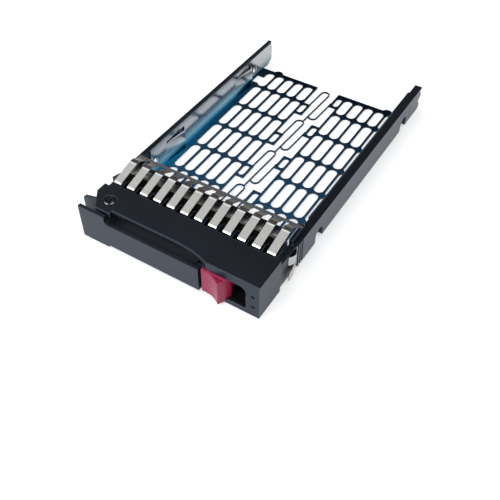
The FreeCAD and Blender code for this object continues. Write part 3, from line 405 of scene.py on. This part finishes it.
def clear_plastic(name, dark, light, clearness, gloss):
    """Clear moulded plastic, faintly frosted."""
    shader = Shader(name)
    frost = shader.noise(scale=1500, detail=4)
    tint = shader.ramp(frost, [(0.2, dark), (0.8, light)])
    shader.surface(tint, frost, (0.12, 0.3))
    shader.set(Transmission_Weight=clearness, IOR=1.49, Specular_IOR_Level=gloss)
    return shader.material


# Side colours below are a painted cool reflection on upright faces; edge colours are partly wear and partly
# painted highlight; the lever's rear colour is painted fill light
MATERIALS = {
    "bezel": plastic("bezel_black", dark=srgb(20, 22, 27), light=srgb(26, 29, 35), worn_and_highlight=srgb(136, 140, 147),
                     rough=(0.32, 0.44), gloss=0.38, side=srgb(8, 25, 40)),
    "rail": plastic("rail_black", dark=srgb(9, 11, 14), light=srgb(15, 17, 21), worn_and_highlight=srgb(52, 56, 64),
                    rough=(0.28, 0.4), gloss=0.45, side=srgb(12, 28, 48)),
    "lever": plastic("lever_charcoal", dark=srgb(20, 23, 29), light=srgb(27, 30, 37), worn_and_highlight=srgb(44, 48, 55),
                     rough=(0.34, 0.46), gloss=0.5, side=srgb(21, 27, 41), recess_fill_light=srgb(62, 66, 73)),
    "button": plastic("button_burgundy", dark=srgb(146, 20, 60), light=srgb(162, 26, 70),
                      worn_and_highlight=srgb(206, 92, 126), rough=(0.3, 0.42), gloss=0.5),
    "tray": tray_metal("tray_steel"),
    "contact": contact_metal("contact_strip"),
    "leaf": metal("contact_leaf", dark=srgb(170, 170, 168), light=srgb(190, 190, 188),
                  worn_and_highlight=srgb(206, 206, 204), rough=(0.2, 0.34), stretch=(1, 0.1, 1)),
    "screw": metal("screw_black", dark=srgb(36, 37, 40), light=srgb(52, 53, 56), worn_and_highlight=srgb(176, 176, 176),
                   rough=(0.14, 0.26), stretch=(1, 1, 0.1)),
    "rim": rim_metal("turned_rim"),
    "spring": metal("oiled_spring", dark=srgb(40, 40, 42), light=srgb(58, 57, 56), worn_and_highlight=srgb(96, 95, 94),
                    rough=(0.3, 0.45), stretch=(1, 1, 1)),
    "pipe": clear_plastic("light_pipe", dark=srgb(205, 212, 216), light=srgb(236, 240, 242), clearness=0.6,
                          gloss=0.5),
    "lens": clear_plastic("smoked_lens", dark=srgb(10, 11, 13), light=srgb(18, 20, 23), clearness=0.1,
                          gloss=0.1),
}
FINISH = {
    "base_tray": "tray",
    "left_rail": "rail",
    "right_rail": "rail",
    "light_pipe_upper": "pipe",
    "light_pipe_lower": "pipe",
    "bezel": "bezel",
    "emi_spring_top": "contact",
    "emi_spring_right": "leaf",
    "ejector_lever": "lever",
    "pivot_screw": "screw",
    "release_button": "button",
    "lever_spring": "spring",
    "button_spring": "spring",
    "bezel_screws": "screw",
}
for node_name, finish in FINISH.items():
    for slot in nodes[node_name].material_slots:
        slot.material = MATERIALS[finish]


# Pieces that the scene adds

LENS_SIDES = 32
LENS_RINGS = 6
LENS_RADIUS = 0.85 * MM
LENS_DOME = 0.3 * MM
LENS_FACE = -66.5 * MM
LENS_SKIRT = 0.5 * MM
LENS_X = 35.225 * MM
LENS_HEIGHTS = {"led_lens_upper": 9.8 * MM, "led_lens_lower": 4.7 * MM}

RIM_SIDES = 48
RIM_STEPS = 6
PIVOT_HEAD = (-28.5 * MM, -60.5 * MM, 15.4 * MM)
HEAD_RADIUS = 2.2 * MM
HEAD_ROUND = 0.4 * MM

LEDGE_HALF_WIDTH = 33 * MM
LEDGE_FRONT = -43 * MM
LEDGE_REAR = -37.7 * MM
LEDGE_FOOT = 12.6 * MM
LEDGE_TOP = 14 * MM
SEAT_HALF_WIDTH = 31.2 * MM
SEAT_REAR = -40.1 * MM
SEAT_TOP = 14.3 * MM

COIL_TURNS = 6
COIL_STEPS = 24
COIL_WIRE = 0.4 * MM
WIRE_SIDES = 10

LEAF_STEPS = 24
LEAF_GAUGE = 0.3 * MM
LEAF_SEAT = 37.4 * MM
LEAF_ROOT = -41.5 * MM
LEAF_BACK = -40.7 * MM
LEAF_FOOT = 0.9 * MM
LEAF_TOP = 11.7 * MM
LEAF_BOW = 1.1 * MM
LEAF_CREASE = math.radians(40)
NOSE_SHARE = 0.9


def new_piece(name, mesh_data, material, body):
    """A mesh as a piece that rides on a body and takes the material it is given."""
    bmesh.ops.recalc_face_normals(mesh_data, faces=mesh_data.faces)
    mesh = bpy.data.meshes.new(name)
    mesh_data.to_mesh(mesh)
    mesh_data.free()
    piece = bpy.data.objects.new(name, mesh)
    scene.collection.objects.link(piece)
    mesh.materials.append(material)
    for face in mesh.polygons:
        face.use_smooth = True
    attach(piece, body)
    return piece


def circle(count):
    """Cosine and sine of each step of a full turn."""
    turns = [2 * math.pi * step / count for step in range(count)]
    return [(math.cos(turn), math.sin(turn)) for turn in turns]


def skin(data, loops):
    """Quads between each loop of points and the next, all the way round."""
    for here, after in zip(loops, loops[1:]):
        for side in range(len(here)):
            ahead = (side + 1) % len(here)
            data.faces.new((here[side], here[ahead], after[ahead], after[side]))


def closed_skin(data, loops):
    """A skin over loops of points, with a face at each end."""
    skin(data, loops)
    data.faces.new(loops[0])
    data.faces.new(loops[-1])


def add_lens(name, x, z):
    """A low domed lens that closes a light pipe's window from behind, with a short skirt."""
    rings = []
    for ring in range(1, LENS_RINGS + 1):
        tilt = math.pi / 2 * ring / LENS_RINGS
        rings.append((LENS_RADIUS * math.sin(tilt), LENS_FACE - LENS_DOME * math.cos(tilt)))
    rings.append((LENS_RADIUS, LENS_FACE + LENS_SKIRT))
    data = bmesh.new()
    crown = data.verts.new((x, LENS_FACE - LENS_DOME, z))
    loops = [[data.verts.new((x + reach * cos, depth, z + reach * sin)) for cos, sin in circle(LENS_SIDES)]
             for reach, depth in rings]
    first = loops[0]
    for here, after in zip(first, first[1:] + first[:1]):
        data.faces.new((crown, here, after))
    skin(data, loops)
    data.faces.new(loops[-1])
    new_piece(name, data, MATERIALS["lens"], "carrier")


def add_rim(name, centre, radius, round_over):
    """The rounded shoulder of a screw head: a flat ring on top that rolls over to the side."""
    x, y, z = centre
    outline = [(radius - 2 * round_over, 0.0), (radius - 2 * round_over, round_over)]
    for step in range(RIM_STEPS + 1):
        tilt = math.pi / 2 * (1 - step / RIM_STEPS)
        outline.append((radius - round_over + round_over * math.cos(tilt), round_over * math.sin(tilt)))
    data = bmesh.new()
    loops = [[data.verts.new((x + reach * cos, y + reach * sin, z + rise)) for reach, rise in outline]
             for cos, sin in circle(RIM_SIDES)]
    skin(data, loops + loops[:1])
    new_piece(name, data, MATERIALS["rim"], "carrier")


def add_bar(name, half_width, depth, rise, bevel, material):
    """A straight bar across the carrier with its edges taken off."""
    low, high = zip((-half_width, half_width), depth, rise)
    data = bmesh.new()
    bmesh.ops.create_cube(data, size=1.0)
    for corner in data.verts:
        corner.co = [b if c > 0 else a for a, b, c in zip(low, high, corner.co)]
    bmesh.ops.bevel(data, geom=list(data.edges), offset=bevel, segments=2, profile=0.5, affect="EDGES")
    new_piece(name, data, material, "carrier")


def add_return_spring(name, node, turns, wire):
    """A round-wire coil in place of a return spring's node; on the real part the spring shortens as the
    button slides into it, while this coil keeps its length.
    """
    low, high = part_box(node)
    middle = (low + high) / 2
    half = wire / 2
    reach = (high.z - low.z) / 2 - half
    start, end = low.x + half, high.x - half
    steps = turns * COIL_STEPS
    data = bmesh.new()
    loops = []
    for step in range(steps + 1):
        turn = 2 * math.pi * step / COIL_STEPS
        x = start + (end - start) * step / steps
        loop = []
        for cos, sin in circle(WIRE_SIDES):
            out = reach + half * cos
            corner = (x + half * sin, middle.y + out * math.sin(turn), middle.z - out * math.cos(turn))
            loop.append(data.verts.new(corner))
        loops.append(loop)
    closed_skin(data, loops)
    piece = new_piece(name, data, MATERIALS["spring"], "carrier")
    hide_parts(node)
    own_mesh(piece)


def add_ribbon(data, stations):
    """A strip of the leaf's sheet through stations of (outer x, y, low z, high z)."""
    loops = []
    for x, y, low, high in stations:
        inner = x - LEAF_GAUGE
        corners = ((x, y, low), (x, y, high), (inner, y, high), (inner, y, low))
        loops.append([data.verts.new(corner) for corner in corners])
    closed_skin(data, loops)


def leaf_finger(tip, low, high, turn, nose):
    """Stations of a finger that bows out from its root, leans to its tip's height and has a rounded nose.

    low and high are the lower and upper edge's heights at the root and at the tip."""
    stations = []
    for step in range(LEAF_STEPS + 1):
        share = 1 - (1 - step / LEAF_STEPS) ** 2
        x = LEAF_SEAT + LEAF_BOW * math.sin(math.pi * turn * share)
        y = LEAF_ROOT + (tip - LEAF_ROOT) * share
        left = min(1.0, (y - tip) / nose)
        pinch = nose * (1 - math.sqrt(1 - (1 - left) ** 2)) * NOSE_SHARE
        bottom = low[0] + (low[1] - low[0]) * share + pinch
        top = high[0] + (high[1] - high[0]) * share - pinch
        stations.append((x, y, bottom, top))
    return stations


def add_leaf(name, node):
    """The right-hand contact: a root plate with a short upper tab and a longer, tapered lower finger."""
    data = bmesh.new()
    add_ribbon(data, [(LEAF_SEAT, y, LEAF_FOOT, LEAF_TOP) for y in (LEAF_ROOT, LEAF_BACK)])
    add_ribbon(data, leaf_finger(tip=-47.2 * MM, low=(6.8 * MM, 7.4 * MM), high=(10.8 * MM, 11.6 * MM),
                                 turn=1.0, nose=0.8 * MM))
    add_ribbon(data, leaf_finger(tip=-48.3 * MM, low=(2.2 * MM, 0.6 * MM), high=(6.6 * MM, 4.7 * MM),
                                 turn=0.6, nose=0.9 * MM))
    piece = new_piece(name, data, MATERIALS["leaf"], "carrier")
    piece.data.set_sharp_from_angle(angle=LEAF_CREASE)
    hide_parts(node)


for lens_name, lens_height in LENS_HEIGHTS.items():
    add_lens(lens_name, LENS_X, lens_height)
add_rim("pivot_rim", PIVOT_HEAD, HEAD_RADIUS, HEAD_ROUND)
add_bar("finger_ledge", LEDGE_HALF_WIDTH, depth=(LEDGE_FRONT, LEDGE_REAR), rise=(LEDGE_FOOT, LEDGE_TOP),
        bevel=0.25 * MM, material=MATERIALS["bezel"])
add_bar("finger_seat", SEAT_HALF_WIDTH, depth=(LEDGE_FRONT, SEAT_REAR), rise=(LEDGE_TOP, SEAT_TOP),
        bevel=0.05 * MM, material=MATERIALS["contact"])
add_leaf("contact_leaf", "emi_spring_right")
add_return_spring("button_coil", "button_spring", COIL_TURNS, COIL_WIRE)


# Stage, light and camera

def add_floor():
    """A wide pale floor under the object, white to the eye and in reflections, that keeps its shadow."""
    reach, drop, glow = 3.0, 0.2 * MM, 0.45
    mesh = bpy.data.meshes.new("floor")
    corners = [(-reach, -reach, 0), (reach, -reach, 0), (reach, reach, 0), (-reach, reach, 0)]
    mesh.from_pydata(corners, [], [(0, 1, 2, 3)])
    floor = bpy.data.objects.new("floor", mesh)
    floor.location.z = -drop
    scene.collection.objects.link(floor)
    shader = Shader("floor_white")
    paper = shader.noise(scale=300, detail=2)
    shade = shader.tones(paper, (0.84, 0.84, 0.84, 1), (0.86, 0.86, 0.86, 1))
    shader.link(shade, shader.bsdf.inputs["Base Color"])
    shader.set(Roughness=1.0, Specular_IOR_Level=0.0, Emission_Color=WHITE)
    ray = shader.add("ShaderNodeLightPath")
    seen = ray.outputs["Is Camera Ray"]
    for kind in ("Is Glossy Ray", "Is Transmission Ray"):
        seen = shader.either(seen, ray.outputs[kind])
    shader.link(shader.span(seen, 0.0, glow), shader.bsdf.inputs["Emission Strength"])
    floor.data.materials.append(shader.material)


def add_area(name, place, target, width, height, power):
    """A soft rectangular lamp that looks at a target."""
    lamp = bpy.data.lights.new(name, "AREA")
    lamp.shape = "RECTANGLE"
    lamp.size = width
    lamp.size_y = height
    lamp.energy = power
    holder = bpy.data.objects.new(name, lamp)
    holder.location = place
    way = Vector(target) - Vector(place)
    holder.rotation_euler = way.to_track_quat("-Z", "Y").to_euler()
    scene.collection.objects.link(holder)


def add_world():
    """A white dome with a pale horizon, dark behind the object to the left and grey to the right."""
    world = bpy.data.worlds.new("studio")
    world.use_nodes = True
    tree = world.node_tree
    way = tree.nodes.new("ShaderNodeTexCoord")
    axes = tree.nodes.new("ShaderNodeSeparateXYZ")
    tree.links.new(way.outputs["Generated"], axes.inputs["Vector"])

    def share(axis, start, end):
        """A smooth step from 0 to 1 along an axis of the direction."""
        node = tree.nodes.new("ShaderNodeMapRange")
        node.interpolation_type = "SMOOTHSTEP"
        node.inputs["From Min"].default_value = start
        node.inputs["From Max"].default_value = end
        tree.links.new(axes.outputs[axis], node.inputs["Value"])
        return node.outputs["Result"]

    def blend(factor, first, second):
        """Two colours mixed by a factor."""
        node = tree.nodes.new("ShaderNodeMix")
        node.data_type = "RGBA"
        tree.links.new(factor, node.inputs["Factor"])
        for socket, colour in (("A", first), ("B", second)):
            if isinstance(colour, tuple):
                node.inputs[socket].default_value = colour
            else:
                tree.links.new(colour, node.inputs[socket])
        return node.outputs["Result"]

    pale = (0.86, 0.87, 0.88, 1)
    dark = (0.09, 0.11, 0.135, 1)
    grey = (0.45, 0.46, 0.47, 1)
    rear = blend(share("X", 0.05, 0.3), dark, grey)
    dome = blend(share("Y", 0.3, 0.48), pale, rear)
    sky = blend(share("Z", 0.1, 0.34), pale, dome)
    tree.links.new(sky, tree.nodes["Background"].inputs["Color"])
    scene.world = world


def add_camera():
    """The photograph's viewpoint, fitted to the carrier's own straight edges."""
    camera = bpy.data.cameras.new("camera")
    camera.sensor_width = 36.0
    camera.lens = 50.316
    camera.clip_start = 0.01
    place = Vector((106.63, -187.61, 188.91)) * MM
    right = Vector((0.85119, 0.52478, 0.00902))
    forward = Vector((-0.34519, 0.57268, -0.74356))
    up = right.cross(forward)
    turn = Matrix((right, up, -forward)).transposed()
    holder = bpy.data.objects.new("camera", camera)
    holder.matrix_world = Matrix.Translation(place) @ turn.to_4x4()
    scene.collection.objects.link(holder)
    scene.camera = holder


add_floor()
add_world()
add_area("front", place=(-0.25, -0.9, 0.75), target=(0, 0, 0), width=0.8, height=0.6, power=5)
add_camera()
scene.view_settings.view_transform = "Standard"
